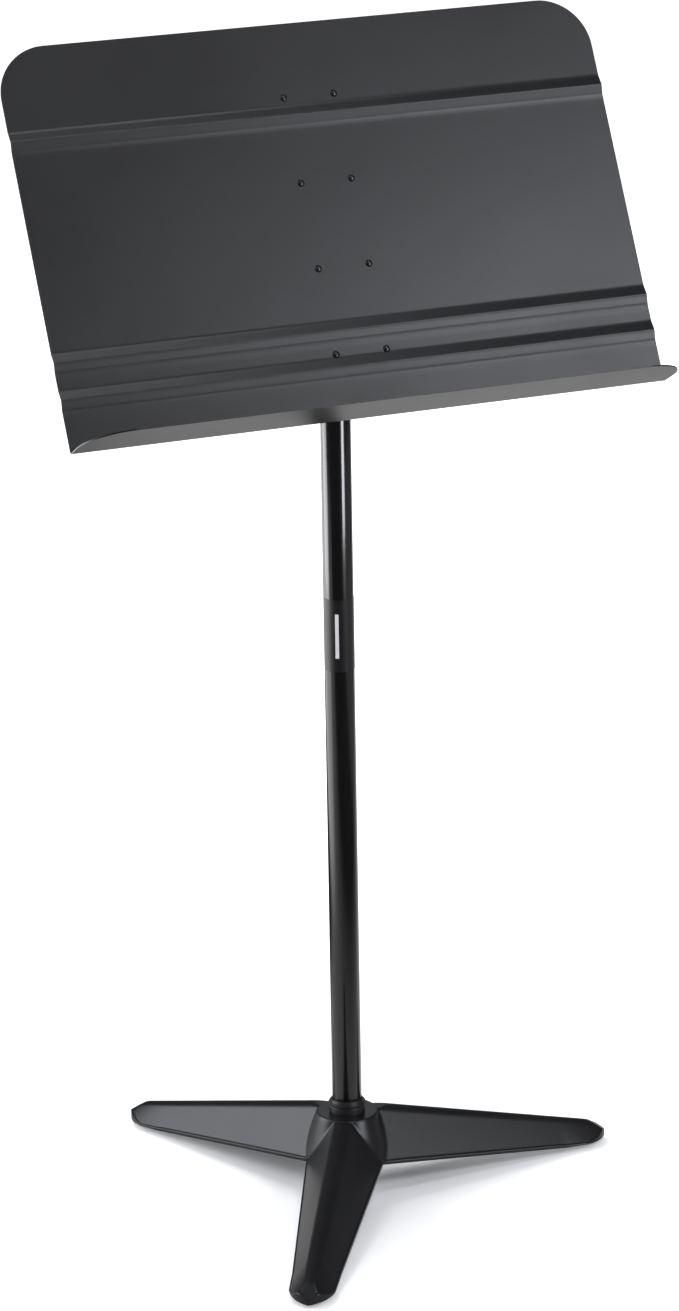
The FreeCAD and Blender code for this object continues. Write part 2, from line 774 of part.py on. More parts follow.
def main():
    os.makedirs("parts", exist_ok=True)
    inside = base_solid(base_sheet)
    thick_washer, lock_washer, base_bolt = base_stack()
    nodes = {
        "base_shell": base_shell(inside),
        "hub_plate": hub_plate_disc(),
        "foot_bridges": foot_bridge(inside),
        "rubber_feet": Part.makeCompound(round_legs(foot_pad())),
        "base_washer": thick_washer,
        "base_lock_washer": lock_washer,
        "base_bolt": base_bolt,
        "tube_plug": tube_plug(),
        "tube_collar": tube_collar(),
        "collar_cone": collar_cone(),
        "outer_tube": pipe(outer_radius, outer_bore, hub_height, tube_top),
        "pole_label": pole_label(),
        "guide_bushing": guide_bushing(),
        "clutch_core": clutch_core(),
        "clutch_fingers": clutch_fingers(),
        "clutch_washer": clutch_washer_ring(),
        "clutch_screw": clutch_screw(),
        "clutch_clip": clutch_clip(),
        "inner_tube": inner_tube(),
        "shaft_end_plug": shaft_end_plug(),
        "tilt_head": at_pivot(tilt_head()),
        "head_pin": head_pin(),
        "tilt_bushings": at_pivot(tilt_bushings()),
        "desk_panel": on_desk(desk_panel()),
        "back_brace": on_desk(back_brace()),
        "tilt_bracket": on_desk(tilt_bracket()),
        "desk_rivets": on_desk(desk_rivets()),
        "friction_washers": on_desk(both_sides(friction_washer_radius, friction_face, ear_face)),
        "flat_washers": on_desk(both_sides(washer_radius, ear_outside, ear_outside + washer)),
        "spring_washers": on_desk(spring_washers()),
        "tilt_bolt": on_desk(tilt_bolt()),
        "tilt_nut": on_desk(tilt_nut()),
    }
    for name, shape in nodes.items():
        shape.exportStep("parts/" + name + ".step")
        print(name, len(shape.Solids), shape.isValid(), round(shape.Volume, 1))


main()
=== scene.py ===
import json
import math

import bmesh
import bpy
from mathutils import Matrix, Vector


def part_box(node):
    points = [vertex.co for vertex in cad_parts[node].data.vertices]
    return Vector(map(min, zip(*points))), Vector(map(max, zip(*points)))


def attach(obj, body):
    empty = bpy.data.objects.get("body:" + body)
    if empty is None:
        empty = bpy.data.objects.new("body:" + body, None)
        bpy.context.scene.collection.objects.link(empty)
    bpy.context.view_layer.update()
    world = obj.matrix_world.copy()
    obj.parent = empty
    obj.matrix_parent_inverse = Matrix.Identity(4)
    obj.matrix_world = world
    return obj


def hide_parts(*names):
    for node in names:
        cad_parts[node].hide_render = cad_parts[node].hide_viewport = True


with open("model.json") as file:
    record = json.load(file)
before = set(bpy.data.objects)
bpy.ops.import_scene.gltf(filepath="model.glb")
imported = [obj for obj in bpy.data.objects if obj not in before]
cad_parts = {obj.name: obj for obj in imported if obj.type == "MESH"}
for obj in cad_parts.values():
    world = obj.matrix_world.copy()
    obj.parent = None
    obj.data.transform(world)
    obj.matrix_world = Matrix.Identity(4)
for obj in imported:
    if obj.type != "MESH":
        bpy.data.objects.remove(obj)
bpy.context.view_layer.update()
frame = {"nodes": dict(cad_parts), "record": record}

scene = bpy.context.scene
MM = 0.001


def lerp(start, end, share):
    return start + (end - start) * share


def spread(start, stop, count):
    """Evenly spaced values from start to stop, both included."""
    return [start + (stop - start) * i / (count - 1) for i in range(count)]


def in_millimetres(metres):
    return round(metres / MM, 2)


# ---------------------------------------------------------------- camera

CAMERA_AT = Vector((-1.3565, -3.3900, 1.6876))
CAMERA_YAW = math.radians(21.81)      # turned from +Y towards +X
CAMERA_PITCH = math.radians(18.37)    # looking down
CAMERA_ROLL = math.radians(-0.98)
CAMERA_SENSOR = 36                    # millimetres, the picture's long side
CAMERA_LENS = 128.6


def make_camera():
    level = math.cos(CAMERA_PITCH)
    forward = Vector((math.sin(CAMERA_YAW) * level, math.cos(CAMERA_YAW) * level,
                      -math.sin(CAMERA_PITCH)))
    right = Vector((math.cos(CAMERA_YAW), -math.sin(CAMERA_YAW), 0))
    upward = right.cross(forward)
    rolled_right = math.cos(CAMERA_ROLL) * right + math.sin(CAMERA_ROLL) * upward
    rolled_up = math.cos(CAMERA_ROLL) * upward - math.sin(CAMERA_ROLL) * right
    place = Matrix((rolled_right, rolled_up, -forward)).transposed().to_4x4()
    place.translation = CAMERA_AT
    data = bpy.data.cameras.new("camera")
    data.sensor_width = CAMERA_SENSOR
    data.lens = CAMERA_LENS
    camera = bpy.data.objects.new("camera", data)
    camera.matrix_world = place
    scene.collection.objects.link(camera)
    scene.camera = camera


# ---------------------------------------------------------------- shader nodes

WHITE = (1, 1, 1, 1)


def ramp_node(nodes, stops):
    """A colour ramp from (position, colour) pairs."""
    ramp = nodes.new("ShaderNodeValToRGB")
    while len(ramp.color_ramp.elements) < len(stops):
        ramp.color_ramp.elements.new(0.5)
    for element, (position, colour) in zip(ramp.color_ramp.elements, stops):
        element.position = position
        element.color = (*colour, 1)
    return ramp


def math_node(nodes, links, operation, *values):
    """Output of a maths node over its inputs, each a number or an output."""
    node = nodes.new("ShaderNodeMath")
    node.operation = operation
    for socket, value in zip(node.inputs, values):
        if isinstance(value, (int, float)):
            socket.default_value = value
        else:
            links.new(value, socket)
    return node.outputs["Value"]


def range_node(nodes, links, value, start, end, low=0.0, high=1.0):
    """Output that goes from low to high while the value goes from start to end."""
    node = nodes.new("ShaderNodeMapRange")
    node.inputs["From Min"].default_value = start
    node.inputs["From Max"].default_value = end
    node.inputs["To Min"].default_value = low
    node.inputs["To Max"].default_value = high
    links.new(value, node.inputs["Value"])
    return node.outputs["Result"]


def mix_node(nodes, links, share, first, second):
    """Second shader where the share is 1, first where it is 0."""
    mix = nodes.new("ShaderNodeMixShader")
    links.new(share, mix.inputs["Fac"])
    links.new(first, mix.inputs[1])
    links.new(second, mix.inputs[2])
    return mix.outputs["Shader"]


# ---------------------------------------------------------------- floor

FLOOR_HALF = 14.0
FLOOR_GAP = 0.0004                    # the floor lies this far under the feet
PAPER = 0.93
GLOW_FROM = 0.06                      # the paper's own glow starts this far from the pole
GLOW_TO = 0.8                         # and is full here
GLOW = 0.9
SWEEP = (-0.342, 0.94, 0)             # the way in which the floor's brightness to gloss changes
SWEEP_TONES = ((-0.42, 0.04), (0.03, 1.0), (0.8, 0.85))    # metres along it, brightness
CARDS = (                             # cards that only gloss sees: change of brightness, then edges
    (2.6, ("X", -0.35, -0.62), ("Y", -0.12, 0.12)),
    (0.4, ("X", 0.65, 0.95), ("Y", 0.1, -0.1)),
    (-0.85, ("X", 0.14, 0.0), ("X", -0.5, -0.35), ("Y", 0.2, 0.4)),
)


def paper_shader(nodes, links, place, ray):
    """Pale paper that glows away from the stand, to the camera only, so that it ends in white."""
    paper = nodes["Principled BSDF"]
    paper.inputs["Base Color"].default_value = (PAPER, PAPER, PAPER, 1)
    paper.inputs["Roughness"].default_value = 0.9
    paper.inputs["Specular IOR Level"].default_value = 0.1
    distance = nodes.new("ShaderNodeVectorMath")
    distance.operation = "LENGTH"
    links.new(place.outputs["Object"], distance.inputs[0])
    glow = range_node(nodes, links, distance.outputs["Value"], GLOW_FROM, GLOW_TO, high=GLOW)
    seen_glow = math_node(nodes, links, "MULTIPLY", glow, ray.outputs["Is Camera Ray"])
    paper.inputs["Emission Color"].default_value = WHITE
    links.new(seen_glow, paper.inputs["Emission Strength"])
    return paper.outputs["BSDF"]


def mirrored_shader(nodes, links, place):
    """The floor as gloss sees it: dim in front, bright behind, with the cards on it."""
    sweep = nodes.new("ShaderNodeVectorMath")
    sweep.operation = "DOT_PRODUCT"
    sweep.inputs[1].default_value = SWEEP
    links.new(place.outputs["Object"], sweep.inputs[0])
    start, end = SWEEP_TONES[0][0], SWEEP_TONES[-1][0]
    along = range_node(nodes, links, sweep.outputs["Value"], start, end)
    tones = ramp_node(nodes, [((at - start) / (end - start), (tone, tone, tone))
                              for at, tone in SWEEP_TONES])
    links.new(along, tones.inputs["Fac"])
    apart = nodes.new("ShaderNodeSeparateXYZ")
    links.new(place.outputs["Object"], apart.inputs["Vector"])
    total = tones.outputs["Color"]
    for change, *edges in CARDS:
        card = change
        for socket, outside, inside in edges:
            edge = range_node(nodes, links, apart.outputs[socket], outside, inside)
            card = math_node(nodes, links, "MULTIPLY", card, edge)
        total = math_node(nodes, links, "ADD", total, card)
    mirrored = nodes.new("ShaderNodeEmission")
    mirrored.inputs["Color"].default_value = WHITE
    links.new(total, mirrored.inputs["Strength"])
    return mirrored.outputs["Emission"]


def make_floor():
    mesh = bpy.data.meshes.new("floor")
    corners = [(x * FLOOR_HALF, y * FLOOR_HALF, -FLOOR_GAP)
               for x, y in ((-1, -1), (1, -1), (1, 1), (-1, 1))]
    mesh.from_pydata(corners, [], [(0, 1, 2, 3)])
    floor = bpy.data.objects.new("floor", mesh)
    scene.collection.objects.link(floor)
    material = bpy.data.materials.new("studio_floor")
    material.use_nodes = True
    nodes = material.node_tree.nodes
    links = material.node_tree.links
    place = nodes.new("ShaderNodeTexCoord")
    ray = nodes.new("ShaderNodeLightPath")
    both = mix_node(nodes, links, ray.outputs["Is Glossy Ray"],
                    paper_shader(nodes, links, place, ray), mirrored_shader(nodes, links, place))
    links.new(both, nodes["Material Output"].inputs["Surface"])
    mesh.materials.append(material)


# ---------------------------------------------------------------- lights

ROOM_LIGHT = 0.2                      # what the white room gives
ROOM_TO_GLOSS = 0.08                  # how bright gloss sees it
ROOM_TO_CAMERA = 1.0
COOL = (0.93, 0.945, 1.0)
SOFT_BOXES = (                        # name, place, what it faces, width, height, watts
    ("key", (-1.2, 0.1, 2.1), (0, -0.05, 0.5), 2.2, 1.6, 12),
    ("side", (-1.9, 0.9, 0.85), (0, 0, 0.5), 1.4, 1.6, 56),
    ("front_high", (1.5, -2.3, 2.35), (0, 0, 0.8), 0.9, 0.9, 44),
    ("front_low", (1.45, -2.7, 0.75), (0, 0, 0.7), 1.0, 0.9, 50),
    ("top", (0.4, -0.67, 2.7), (0, 0, 0.9), 0.4, 0.6, 9),
    ("back", (1.3, 3.0, 1.7), (0, 0, 0.1), 0.8, 0.6, 2.5),
)
FLOOR_WASH = ("floor_wash", (0.0, 2.2, 2.6), (0, 1.2, 0), 2.4, 1.4, 56)


def soft_box(name, at, aim, width, height, power, colour=COOL):
    data = bpy.data.lights.new(name, "AREA")
    data.color = colour
    data.shape = "RECTANGLE"
    data.size = width
    data.size_y = height
    data.energy = power
    lamp = bpy.data.objects.new(name, data)
    scene.collection.objects.link(lamp)
    towards = Vector(aim) - Vector(at)
    lamp.rotation_mode = "QUATERNION"
    lamp.rotation_quaternion = towards.to_track_quat("-Z", "Y")
    lamp.location = at
    return lamp


def white_room(room, strength):
    room.inputs["Color"].default_value = WHITE
    room.inputs["Strength"].default_value = strength
    return room.outputs["Background"]


def make_lights():
    """A white room that gloss sees dimly, soft boxes, and a wash on the floor behind."""
    world = bpy.data.worlds.new("studio")
    world.use_nodes = True
    scene.world = world
    nodes = world.node_tree.nodes
    links = world.node_tree.links
    ray = nodes.new("ShaderNodeLightPath")
    light = white_room(nodes["Background"], ROOM_LIGHT)
    to_gloss = white_room(nodes.new("ShaderNodeBackground"), ROOM_TO_GLOSS)
    to_camera = white_room(nodes.new("ShaderNodeBackground"), ROOM_TO_CAMERA)
    unseen = mix_node(nodes, links, ray.outputs["Is Glossy Ray"], light, to_gloss)
    room = mix_node(nodes, links, ray.outputs["Is Camera Ray"], unseen, to_camera)
    links.new(room, nodes["World Output"].inputs["Surface"])
    for settings in SOFT_BOXES:
        soft_box(*settings)
    wash = soft_box(*FLOOR_WASH, colour=(1, 1, 1))
    wash.visible_glossy = False
    scene.view_settings.view_transform = "Standard"


# ---------------------------------------------------------------- materials

METAL = {"specular": 0.5, "metallic": 1.0}
FINISHES = {                          # by the record's material slot
    "black_coat": dict(
        name="black_powder_coat", dark=(0.0068, 0.0069, 0.0078), light=(0.0088, 0.0089, 0.0098),
        roughness=(0.30, 0.35), grain=950, bump=0.2),
    "tube_coat": dict(
        name="tube_enamel", dark=(0.0036, 0.0036, 0.004), light=(0.0046, 0.0046, 0.005),
        roughness=(0.13, 0.17), grain=420, bump=0.05, specular=0.5, stretch=(1, 1, 0.12)),
    "head_coat": dict(
        name="cast_head_coat", dark=(0.008, 0.008, 0.0085), light=(0.011, 0.011, 0.0115),
        roughness=(0.4, 0.5), grain=380, bump=0.5, relief=0.0004),
    "rivet_coat": dict(
        name="rivet_coat", dark=(0.006, 0.006, 0.007), light=(0.009, 0.009, 0.01),
        roughness=(0.24, 0.32), grain=900, bump=0.15, specular=0.4),
    "zinc_steel": dict(
        name="zinc_steel", dark=(0.46, 0.47, 0.49), light=(0.6, 0.61, 0.62),
        roughness=(0.26, 0.42), grain=600, bump=0.12, patch=160, **METAL),
    "spring_steel": dict(
        name="spring_steel", dark=(0.22, 0.22, 0.23), light=(0.34, 0.34, 0.36),
        roughness=(0.22, 0.34), grain=900, bump=0.1, patch=120, **METAL),
    "plated_tube": dict(
        name="plated_tube", dark=(0.52, 0.53, 0.55), light=(0.64, 0.65, 0.66),
        roughness=(0.09, 0.16), grain=1500, bump=0.08, patch=30, stretch=(1, 1, 0.02), **METAL),
    "nylon": dict(
        name="black_nylon", dark=(0.007, 0.007, 0.0075), light=(0.010, 0.010, 0.0105),
        roughness=(0.42, 0.52), grain=500, bump=0.12),
    "fibre": dict(
        name="grey_fibre", dark=(0.05, 0.05, 0.048), light=(0.09, 0.088, 0.084),
        roughness=(0.7, 0.85), grain=1400, bump=0.6, specular=0.2, patch=600),
    "rubber": dict(
        name="black_rubber", dark=(0.012, 0.012, 0.012), light=(0.02, 0.02, 0.02),
        roughness=(0.62, 0.75), grain=900, bump=0.4, specular=0.2),
    "label": dict(
        name="label_film", dark=(0.006, 0.006, 0.0065), light=(0.009, 0.009, 0.0095),
        roughness=(0.3, 0.36), grain=700, bump=0.05, specular=0.35),
}
PATCH_EDGES = (0.35, 0.65)            # of the broad noise, where the tone starts and stops changing
GRAIN_SHARE = 0.35                    # of the fine noise in the sheen
SHEEN_EDGES = (0.45, 0.9)

STRIPE_X = -6.2 * MM
STRIPE_HALF_WIDTH = 1.3 * MM
STRIPE_HALF_LENGTH = 19 * MM
STRIPE_INK = (0.55, 0.55, 0.56, 1)


def noise(nodes, scale, detail):
    texture = nodes.new("ShaderNodeTexNoise")
    texture.inputs["Scale"].default_value = scale
    texture.inputs["Detail"].default_value = detail
    return texture


def surface(name, dark, light, roughness, grain, bump, specular=0.25, metallic=0.0,
            stretch=(1, 1, 1), patch=9, relief=0.0002):
    """Finish with a faint change of tone, an uneven sheen and a fine relief, drawn out if asked."""
    material = bpy.data.materials.new(name)
    material.use_nodes = True
    nodes = material.node_tree.nodes
    links = material.node_tree.links
    shader = nodes["Principled BSDF"]
    shader.inputs["Specular IOR Level"].default_value = specular
    shader.inputs["Metallic"].default_value = metallic
    place = nodes.new("ShaderNodeTexCoord")
    tone = noise(nodes, patch, 4)
    links.new(place.outputs["Object"], tone.inputs["Vector"])
    ramp = ramp_node(nodes, list(zip(PATCH_EDGES, (dark, light))))
    links.new(tone.outputs["Fac"], ramp.inputs["Fac"])
    links.new(ramp.outputs["Color"], shader.inputs["Base Color"])
    drawn = nodes.new("ShaderNodeMapping")
    drawn.inputs["Scale"].default_value = stretch
    links.new(place.outputs["Object"], drawn.inputs["Vector"])
    peel = noise(nodes, grain, 3)
    links.new(drawn.outputs["Vector"], peel.inputs["Vector"])
    uneven = math_node(nodes, links, "MULTIPLY_ADD",
                       peel.outputs["Fac"], GRAIN_SHARE, tone.outputs["Fac"])
    sheen = range_node(nodes, links, uneven, *SHEEN_EDGES, *roughness)
    links.new(sheen, shader.inputs["Roughness"])
    raised = nodes.new("ShaderNodeBump")
    raised.inputs["Strength"].default_value = bump
    raised.inputs["Distance"].default_value = relief
    links.new(peel.outputs["Fac"], raised.inputs["Height"])
    links.new(raised.outputs["Normal"], shader.inputs["Normal"])
    return material


def add_stripe(material):
    """One plain pale stripe up the label's left."""
    nodes = material.node_tree.nodes
    links = material.node_tree.links
    shader = nodes["Principled BSDF"]
    plain = shader.inputs["Base Color"].links[0].from_socket
    place = nodes.new("ShaderNodeTexCoord")
    apart = nodes.new("ShaderNodeSeparateXYZ")
    links.new(place.outputs["Object"], apart.inputs["Vector"])
    low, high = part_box("pole_label")
    across = math_node(nodes, links, "COMPARE", apart.outputs["X"], STRIPE_X, STRIPE_HALF_WIDTH)
    upward = math_node(nodes, links, "COMPARE", apart.outputs["Z"], (low.z + high.z) / 2,
                       STRIPE_HALF_LENGTH)
    ink = nodes.new("ShaderNodeMix")
    ink.data_type = "RGBA"
    links.new(math_node(nodes, links, "MULTIPLY", across, upward), ink.inputs["Factor"])
    links.new(plain, ink.inputs["A"])
    ink.inputs["B"].default_value = STRIPE_INK
    links.new(ink.outputs["Result"], shader.inputs["Base Color"])


def make_materials():
    materials = {slot: surface(**look) for slot, look in FINISHES.items()}
    add_stripe(materials["label"])
    return materials


# ---------------------------------------------------------------- building pieces

SHEET_EDGE = 0.3                      # bevel of a sheet's cut edges
SHEET_EDGE_ANGLE = math.radians(50)   # edges sharper than this are bevelled
TURNED_EDGE_ANGLE = math.radians(32)  # edges sharper than this stay sharp


def link(name, mesh, body, replaced, material):
    """Put a mesh in the scene as a piece that rides on a body and stands for a CAD node."""
    piece = bpy.data.objects.new(name, mesh)
    scene.collection.objects.link(piece)
    mesh.materials.append(material)
    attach(piece, body)
    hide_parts(replaced)
    return piece


def smooth(mesh):
    for face in mesh.polygons:
        face.use_smooth = True


def thicken(piece, thickness):
    """Give a face sheet its thickness, behind its face, and bevel its cut edges."""
    solid = piece.modifiers.new("thickness", "SOLIDIFY")
    solid.thickness = thickness * MM
    solid.offset = -1
    solid.use_even_offset = True
    bevel = piece.modifiers.new("edges", "BEVEL")
    bevel.width = SHEET_EDGE * MM
    bevel.segments = 2
    bevel.limit_method = "ANGLE"
    bevel.angle_limit = SHEET_EDGE_ANGLE
    bevel.harden_normals = True
    bevel.use_clamp_overlap = True


def grid_mesh(name, rows):
    """Mesh of quads from rows of points in metres, all rows the same length."""
    points = [point for row in rows for point in row]
    wide = len(rows[0])
    faces = []
    for i in range(len(rows) - 1):
        for j in range(wide - 1):
            at = i * wide + j
            faces.append((at, at + 1, at + wide + 1, at + wide))
    mesh = bpy.data.meshes.new(name)
    mesh.from_pydata(points, [], faces)
    smooth(mesh)
    return mesh


def lathe_mesh(name, outline, segments):
    """Closed ring of revolution round the pole from (radius, height) points in millimetres."""
    points = []
    for k in range(segments):
        angle = 2 * math.pi * k / segments
        for radius, height in outline:
            points.append((radius * MM * math.cos(angle), radius * MM * math.sin(angle),
                           height * MM))
    count = len(outline)
    faces = []
    for k in range(segments):
        following = (k + 1) % segments
        for i in range(count):
            j = (i + 1) % count
            faces.append((k * count + i, following * count + i,
                          following * count + j, k * count + j))
    mesh = bpy.data.meshes.new(name)
    mesh.from_pydata(points, [], faces)
    work = bmesh.new()
    work.from_mesh(mesh)
    bmesh.ops.recalc_face_normals(work, faces=work.faces)
    work.to_mesh(mesh)
    work.free()
    smooth(mesh)
    mesh.set_sharp_from_angle(angle=TURNED_EDGE_ANGLE)
    return mesh


# ---------------------------------------------------------------- tubes and collar

TUBE_WALL = 1.2
EASE = 0.3                            # rounding of a tube's ends
ROUND_SIDES = 96
COLLAR_BORE = 12.6
COLLAR = (                            # (radius, height above the hub): step, groove and bead
    (COLLAR_BORE, 0.0), (14.9, 0.0), (15.1, 0.2), (15.1, 5.9), (15.0, 6.25), (14.75, 6.5),
    (14.4, 6.6), (14.2, 6.7), (14.15, 7.0), (14.2, 7.35),
    (14.6, 7.42), (15.1, 7.55), (15.35, 7.9), (15.4, 8.3), (15.35, 8.75), (15.1, 9.1),
    (14.7, 9.3), (COLLAR_BORE, 9.3),
)
SLEEVE = (                            # (radius, height above the collar)
    (COLLAR_BORE, 0.0), (14.4, 0.0), (14.5, 0.15), (14.35, 0.6), (13.2, 2.35), (12.95, 2.6),
    (COLLAR_BORE, 2.6),
)


def pipe_outline(node, wall):
    """Outline of a plain tube that fills a node's box, its ends eased."""
    low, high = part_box(node)
    outside = high.x / MM
    inside = outside - wall
    bottom = low.z / MM
    top = high.z / MM
    return [(inside + EASE, bottom), (outside - EASE, bottom),
            (outside - EASE / 3, bottom + EASE / 3), (outside, bottom + EASE),
            (outside, top - EASE), (outside - EASE / 3, top - EASE / 3),
            (outside - EASE, top), (inside + EASE, top), (inside, top - EASE),
            (inside, bottom + EASE)]


def make_tubes(finish):
    for node, body, slot in (("outer_tube", "base", "tube_coat"),
                             ("inner_tube", "shaft", "plated_tube")):
        name = node + "_drawn"
        tube = lathe_mesh(name, pipe_outline(node, TUBE_WALL), ROUND_SIDES)
        link(name, tube, body, node, finish[slot])


def make_collar(finish):
    for node, outline in (("tube_collar", COLLAR), ("collar_cone", SLEEVE)):
        name = node + "_turned"
        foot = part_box(node)[0].z / MM
        turned = lathe_mesh(name, [(radius, foot + up) for radius, up in outline], ROUND_SIDES)
        link(name, turned, "base", node, finish["nylon"])


# ---------------------------------------------------------------- base shell: shape
# Millimetres. A leg is described in its own plane: rho out along it, across to its side.

HUB_HEIGHT = in_millimetres(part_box("base_shell")[1].z)
LEG_REACH = in_millimetres(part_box("base_shell")[1].x)
LEG_ANGLES = (-120, 0, 120)
LEG_TURN = math.radians(120)          # from one leg to the next
SHELL = 2.5
BOLT_HOLE = 5.4
HUB_RADIUS = 26.0
RIM_ROUND = 1.7
CONE_FALL = 0.3075                    # how much wider the hub's cone gets down each millimetre
CREASE_HUB = 0.8                      # how soft the crease is from leg to hub, near the rim
CREASE_MORE = 2.6                     # and how much softer further out
CREASE_FROM = 27.0
CREASE_OVER = 7.0

RIDGE_AXIS = 77.2                     # a leg's ridge, carried on to the pole's axis
RIDGE_TIP = 14.5
RIDGE_ROUND = 11.0
RIDGE_ROUND_FALL = 3.0                # from axis to tip
HALF_AXIS = 34.5                      # a leg's half width, carried on to the pole's axis
HALF_TIP = 16.3                       # and carried on to the tip without the nose
LEG_CEILING = 68.1                    # ridges end just under the hub's top
CEILING_EASE = 1.2
LEG_BEND = 195.0                      # the foot edge turns almost level here
FOOT_AXIS = 30.3
FOOT_BEND = 5.3
FOOT_TIP = in_millimetres(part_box("base_shell")[0].z)
EDGE_ROUND = 1.2
EDGE_LIP = 1.5                        # upright edge under the flanks
EDGE_LEAST = 0.3                      # and never less than this

NOSE_START = 205.0
NOSE_BULGE = (0.62, 0.8)              # the nose's side passes this share of its length and width
NOSE_SLOPE = 15.0                     # the top slopes down over this last stretch
NOSE_FOOT = 7.2
NOSE_EASE = 2.4


def ridge_height(rho):
    return lerp(RIDGE_AXIS, RIDGE_TIP, rho / LEG_REACH)


def half_width(rho):
    return lerp(HALF_AXIS, HALF_TIP, rho / LEG_REACH)


def edge_height(rho):
    """Height of the shell's foot edge."""
    if rho <= LEG_BEND:
        return lerp(FOOT_AXIS, FOOT_BEND, rho / LEG_BEND)
    return lerp(FOOT_BEND, FOOT_TIP, min(1.0, (rho - LEG_BEND) / (LEG_REACH - LEG_BEND)))


def smooth_max(a, b, reach):
    gap = max(0.0, 1 - abs(a - b) / reach)
    return max(a, b) + reach * gap * gap / 4


def smooth_min(a, b, reach):
    return -smooth_max(-a, -b, reach)


def leg_height(rho, across):
    """Height of one leg's outside over a point, from its rounded ridge, flanks and nose."""
    rho = max(rho, 0.0)
    across = abs(across)
    radius = RIDGE_ROUND - RIDGE_ROUND_FALL * rho / LEG_REACH
    middle = ridge_height(rho) - radius
    wide = half_width(rho)
    low = edge_height(rho) + EDGE_LIP - middle
    touch = math.atan2(low, wide) + math.acos(radius / math.hypot(wide, low))
    touch_across = radius * math.cos(touch)
    touch_up = radius * math.sin(touch)
    if across <= touch_across:
        height = middle + math.sqrt(radius * radius - across * across)
    else:
        share = (across - touch_across) / (wide - touch_across)
        height = middle + lerp(touch_up, low, share)
    slope_start = LEG_REACH - NOSE_SLOPE
    nose = lerp(ridge_height(slope_start), NOSE_FOOT, (rho - slope_start) / NOSE_SLOPE)
    return smooth_min(smooth_min(height, nose, NOSE_EASE), LEG_CEILING, CEILING_EASE)


def hub_height(radius):
    """Height of the hub's flat top, rounded rim and cone."""
    cone = HUB_HEIGHT - (radius - HUB_RADIUS) / CONE_FALL
    return smooth_min(HUB_HEIGHT, cone, 2 * RIM_ROUND)


def to_leg(x, y, angle):
    turn = math.radians(angle)
    return x * math.cos(turn) + y * math.sin(turn), y * math.cos(turn) - x * math.sin(turn)


def from_leg(rho, across, angle):
    turn = math.radians(angle)
    return (rho * math.cos(turn) - across * math.sin(turn),
            rho * math.sin(turn) + across * math.cos(turn))


def base_height(x, y):
    radius = math.hypot(x, y)
    places = [to_leg(x, y, angle) for angle in LEG_ANGLES]
    legs = max(leg_height(rho, across) for rho, across in places if rho > 0)
    share = min(1.0, max(0.0, (radius - CREASE_FROM) / CREASE_OVER))
    crease = CREASE_HUB + CREASE_MORE * share * share * (3 - 2 * share)
    return smooth_max(legs, hub_height(radius), crease)


def nose_arc():
    """Centre and radius of the nose's side arc, from the leg's side to its tip."""
    wide = half_width(NOSE_START)
    bulge_rho = lerp(NOSE_START, LEG_REACH, NOSE_BULGE[0])
    a, b, c = (NOSE_START, wide), (bulge_rho, NOSE_BULGE[1] * wide), (LEG_REACH, 0.0)
    d = 2 * (a[0] * (b[1] - c[1]) + b[0] * (c[1] - a[1]) + c[0] * (a[1] - b[1]))
    squares = [rho * rho + across * across for rho, across in (a, b, c)]
    centre_rho = (squares[0] * (b[1] - c[1]) + squares[1] * (c[1] - a[1])
                  + squares[2] * (a[1] - b[1])) / d
    centre_across = (squares[0] * (c[0] - b[0]) + squares[1] * (a[0] - c[0])
                     + squares[2] * (b[0] - a[0])) / d
    return centre_rho, centre_across, math.hypot(a[0] - centre_rho, a[1] - centre_across)


NOSE_RHO, NOSE_ACROSS, NOSE_RADIUS = nose_arc()
INSET_RADIUS = NOSE_RADIUS - EDGE_ROUND
NOSE_TIP = NOSE_RHO + math.sqrt(INSET_RADIUS * INSET_RADIUS - NOSE_ACROSS * NOSE_ACROSS)


def inset_half_width(rho):
    """Half width of the grid, which ends one edge rounding inside the leg's outline."""
    if rho <= NOSE_START:
        return half_width(rho) - EDGE_ROUND
    inside = max(0.0, INSET_RADIUS * INSET_RADIUS - (rho - NOSE_RHO) ** 2)
    return max(0.0, min(half_width(rho) - EDGE_ROUND, NOSE_ACROSS + math.sqrt(inside)))


# ---------------------------------------------------------------- base shell: mesh

COLUMNS = 64                          # across a leg
BETWEEN = 12                          # hub grid steps from a leg's edge to midway between legs
HUB_RINGS = (                         # radii, close together over the rim
    BOLT_HOLE, 8, 12, 16, 19, 21.5, 23, 23.8, 24.4, 24.9, 25.3, 25.7, 26.1, 26.5, 27, 27.6,
    28.4, 29.4, 30.5, 31.7, 33,
)
OUTER_RINGS = (0.1, 0.22, 0.34, 0.46, 0.58, 0.7, 0.8, 0.9, 1.0)    # shares of the way on out
HUB_GRID = 45.0                       # the legs' own grids start this far out
STRAIGHT_FROM = 62.0                  # rows are straight across the leg from here
STRAIGHT_TO = 190.0                   # to here, and turn to the nose's arc beyond
NOSE_CORNER = 216.0                   # where the last row meets the leg's side
FAN_ROWS = 10
STRAIGHT_ROWS = 51
NOSE_ROWS = 21
SKIRT_TURNS = (25, 45, 65, 90)        # degrees of the edge's rounding, ring by ring
SHARES = spread(-1, 1, COLUMNS + 1)   # places across a leg, from one edge to the other


def leg_share_at_hub():
    """Half angle, in radians, over which a leg's grid meets the hub's."""
    low, high = 0.2, 1.2
    for _ in range(50):
        half = (low + high) / 2
        if HUB_GRID * math.sin(half) < inset_half_width(HUB_GRID * math.cos(half)):
            low = half
        else:
            high = half
    return low


def edge_radius(delta):
    """How far out the grid's edge lies between two legs, at an angle from the nearer leg."""
    fall = (HALF_AXIS - HALF_TIP) / LEG_REACH
    return (HALF_AXIS - EDGE_ROUND) / (math.sin(delta) + fall * math.cos(delta))


